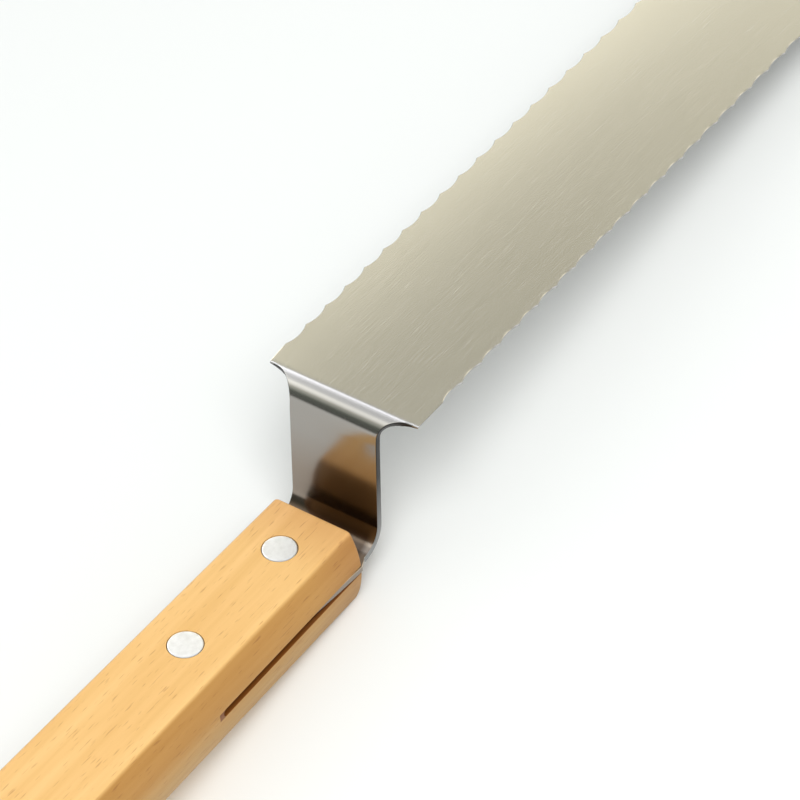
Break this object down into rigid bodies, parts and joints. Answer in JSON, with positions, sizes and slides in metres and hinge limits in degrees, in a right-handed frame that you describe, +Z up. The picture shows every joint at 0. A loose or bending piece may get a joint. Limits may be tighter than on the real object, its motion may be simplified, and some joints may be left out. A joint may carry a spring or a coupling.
{
  "type": "offset bread knife",
  "caption": "Cranked bread and cake knife: serrated steel blade raised above a riveted one-piece beech handle.",
  "frame": {"origin": "on the table that the knife lies on, below the middle of its outline", "axes": "+X level, along the knife to the blade's tip; +Z up from the table; Y across the blade. The knife lies as it rests by itself, on the handle's lower front edge and the blade's tip, so the blade's flat face and the handle lean 9.57 degrees forward"},
  "size_m": [0.3926, 0.0398, 0.0424],
  "materials": {
    "beech": "oiled beech with short fine flecks, satin",
    "stainless_steel": "fine satin on the blade, polished on the neck",
    "rivet_aluminium": "faced flush, satin with a bright rim"
  },
  "bodies": {
    "root": {"handle": "beech", "blade": "stainless_steel", "front_rivet_post": "rivet_aluminium", "front_rivet_socket": "rivet_aluminium", "rear_rivet_post": "rivet_aluminium", "rear_rivet_socket": "rivet_aluminium"}
  },
  "joints": []
}
